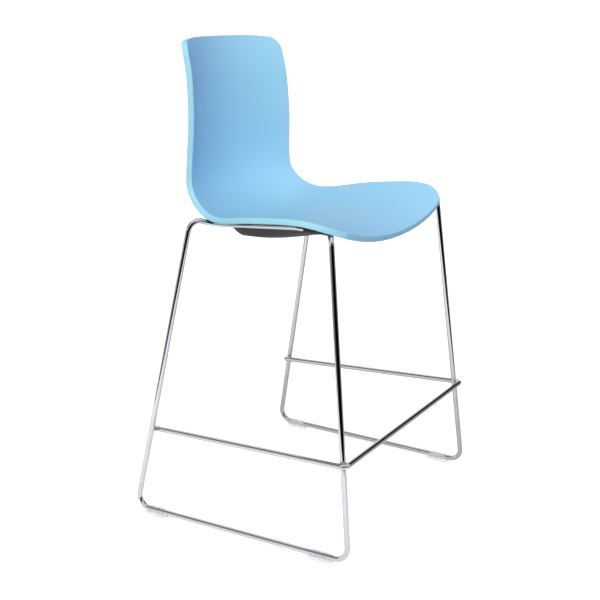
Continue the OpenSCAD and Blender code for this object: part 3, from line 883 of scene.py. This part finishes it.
studio = {
    "white": rgb(1.05, 1.05, 1.05),     # what the camera sees behind everything
    "floorRadius": 40.0,
    "floorSides": 96,
    "floorColour": rgb(0.60, 0.60, 0.60),
    "floorRoughness": 0.9,
    "floorGlow": 0.62,
    "bounceColour": rgb(0.10, 0.10, 0.10),      # the floor's colour to all but the camera
    "even": (0.07, 0.06, 0.13),     # what the plastics get from every side
    # softboxes as azimuth from +X, elevation, light; only the plastics see them
    "boxes": [(45, 12, (0.2, 0.4, 1.1)), (90, 12, (0.5, 0.6, 0.7)), (135, 12, (0.7, 0.8, 0.6)),
              (180, 12, (1.7, 1.5, 0.8)), (225, 12, (2.3, 2.3, 1.8)), (270, 12, (0.4, 0.5, 1.3)),
              (120, 45, (0.1, 0.1, 0.6)), (180, 45, (1.2, 1.2, 0.9)), (240, 45, (1.3, 1.1, 0.9))],
    "boxEdge": 5.0,         # how fast a softbox fades to its sides
    # what the chrome sees: an even room, soft screens as azimuth, elevation, half angle, light,
    # and a round sheet of light on the floor
    "room": 0.88,
    "screens": [(128, -18, 15, 0.08), (165, -17, 18, 0.07), (284, -6, 16, 0.05), (325, 0, 18, 0.22),
                (227, -12, 49, 0.002), (130, 43, 25, 0.20), (347, 29, 21, 0.005)],
    "screenEdge": 5,        # how soft a screen's rim is, in degrees
    "sheet": {"at": (0, 0.15, 0.0005), "radius": 1.37, "soft": 0.05,
              "light": (1.20, 0.50),        # before and after it fades along X
              "fade": (-0.8, 0.6)},
}


def towards(azimuth, elevation):
    a, e = math.radians(azimuth), math.radians(elevation)
    return (math.cos(a) * math.cos(e), math.sin(a) * math.cos(e), math.sin(e))


def facing(graph, direction, azimuth, elevation):  # the cosine between a direction and a place
    return graph.node("ShaderNodeVectorMath", {"operation": "DOT_PRODUCT"},
                      {0: direction, 1: towards(azimuth, elevation)}, out="Value")


def softLight(graph, direction):  # the softboxes' light from a direction, as a colour
    light = studio["even"]
    for azimuth, elevation, colour in studio["boxes"]:
        ahead = facing(graph, direction, azimuth, elevation)
        shape = graph.maths("MAXIMUM", ahead, 0.0) ** studio["boxEdge"]
        box = graph.node("ShaderNodeVectorMath", {"operation": "SCALE"}, {0: colour, "Scale": shape})
        light = graph.node("ShaderNodeVectorMath", {"operation": "ADD"}, {0: light, 1: box})
    return light


def mirroredLight(graph, direction):  # what the chrome and the gloss show
    light = studio["room"]
    for azimuth, elevation, half, dark in studio["screens"]:
        inner, outer = (math.cos(math.radians(half + k * studio["screenEdge"])) for k in (-1, 1))
        behind = graph.smooth(facing(graph, direction, azimuth, elevation), outer, inner)
        light = light + behind * (dark - light)
    return light


def makeWorld():
    world = bpy.data.worlds.new("studio")
    bpy.context.scene.world = world
    world.cycles.sampling_method = "NONE"  # so that each kind of ray finds its own light
    graph = Graph(world)
    direction = graph.node("ShaderNodeTexCoord", out="Generated")
    byCamera = graph.node("ShaderNodeLightPath", out="Is Camera Ray")
    byDiffuse = graph.node("ShaderNodeLightPath", out="Is Diffuse Ray")
    seen = graph.mix(byCamera, mirroredLight(graph, direction), studio["white"])
    colour = graph.mix(byDiffuse, seen, softLight(graph, direction))
    background = graph.node("ShaderNodeBackground", None, {"Color": colour, "Strength": 1.0})
    graph.node("ShaderNodeOutputWorld", None, {"Surface": background})


def makeFloor():
    sides = studio["floorSides"]
    ring = [(studio["floorRadius"] * math.cos(2 * math.pi * k / sides),
             studio["floorRadius"] * math.sin(2 * math.pi * k / sides), 0) for k in range(sides)]
    floor = newObject("floor", ring, [tuple(range(sides))], unit=1)
    material, graph = newMaterial("paleFloor")
    byCamera = graph.node("ShaderNodeLightPath", out="Is Camera Ray")
    below = graph.node("ShaderNodeNewGeometry", out="Backfacing")
    shown = graph.node("ShaderNodeBsdfPrincipled", None, {
        "Base Color": studio["floorColour"], "Roughness": studio["floorRoughness"],
        "Specular IOR Level": 0.0, "Emission Color": rgb(1, 1, 1), "Emission Strength": studio["floorGlow"]})
    bounce = graph.node("ShaderNodeBsdfDiffuse", None, {"Color": studio["bounceColour"]})
    clear = graph.node("ShaderNodeBsdfTransparent")
    lit = graph.node("ShaderNodeMixShader", None, {0: byCamera, 1: bounce, 2: shown})
    both = graph.node("ShaderNodeMixShader", None, {0: below, 1: lit, 2: clear})
    graph.node("ShaderNodeOutputMaterial", None, {"Surface": both})
    floor.data.materials.append(material)
    floor.visible_glossy = False


def makeSheet():  # light on the floor that only the chrome and the gloss see
    sheet = studio["sheet"]
    reach = sheet["radius"] + sheet["soft"]
    corners = [(x * reach, y * reach, 0) for x, y in ((-1, -1), (1, -1), (1, 1), (-1, 1))]
    made = newObject("lightSheet", corners, [(0, 1, 2, 3)], unit=1)
    made.location = sheet["at"]
    material, graph = newMaterial("lightSheet")
    place = graph.place()
    fromMiddle = graph.node("ShaderNodeVectorMath", {"operation": "LENGTH"}, {0: place}, out="Value")
    outside = graph.smooth(fromMiddle, sheet["radius"] - sheet["soft"], reach)
    sideways = graph.node("ShaderNodeSeparateXYZ", None, {"Vector": place}, out="X")
    dimmer = graph.smooth(sideways, *sheet["fade"])
    bright, dim = (graph.node("ShaderNodeEmission", None, {"Strength": s}) for s in sheet["light"])
    light = graph.node("ShaderNodeMixShader", None, {0: dimmer, 1: bright, 2: dim})
    clear = graph.node("ShaderNodeBsdfTransparent")
    both = graph.node("ShaderNodeMixShader", None, {0: outside, 1: light, 2: clear})
    graph.node("ShaderNodeOutputMaterial", None, {"Surface": both})
    made.data.materials.append(material)
    made.visible_camera = False
    made.visible_diffuse = False
    made.visible_shadow = False
    made.visible_transmission = False


makeWorld()
makeFloor()
makeSheet()

camera = {
    "eye": (-1.921, -1.119, 1.039),
    "azimuth": -59.31,      # 0 looks along +Y, -90 along +X
    "elevation": 15.34,
    "lens": 65.02,
    "sensor": 36,
    "clip": (0.05, 100),
}


def makeCamera():
    data = bpy.data.cameras.new("camera")
    data.lens = camera["lens"]
    data.sensor_width = camera["sensor"]
    data.clip_start, data.clip_end = camera["clip"]
    made = bpy.data.objects.new("camera", data)
    bpy.context.scene.collection.objects.link(made)
    azimuth, elevation = math.radians(camera["azimuth"]), math.radians(camera["elevation"])
    back = Vector((math.sin(azimuth) * math.cos(elevation), -math.cos(azimuth) * math.cos(elevation),
                   math.sin(elevation)))
    right = Vector((0, 0, 1)).cross(back).normalized()
    up = back.cross(right)
    made.matrix_world = Matrix.Translation(camera["eye"]) @ Matrix((right, up, back)).transposed().to_4x4()
    bpy.context.scene.camera = made


makeCamera()
bpy.context.scene.view_settings.view_transform = "Standard"
print("stool: studio and camera set")
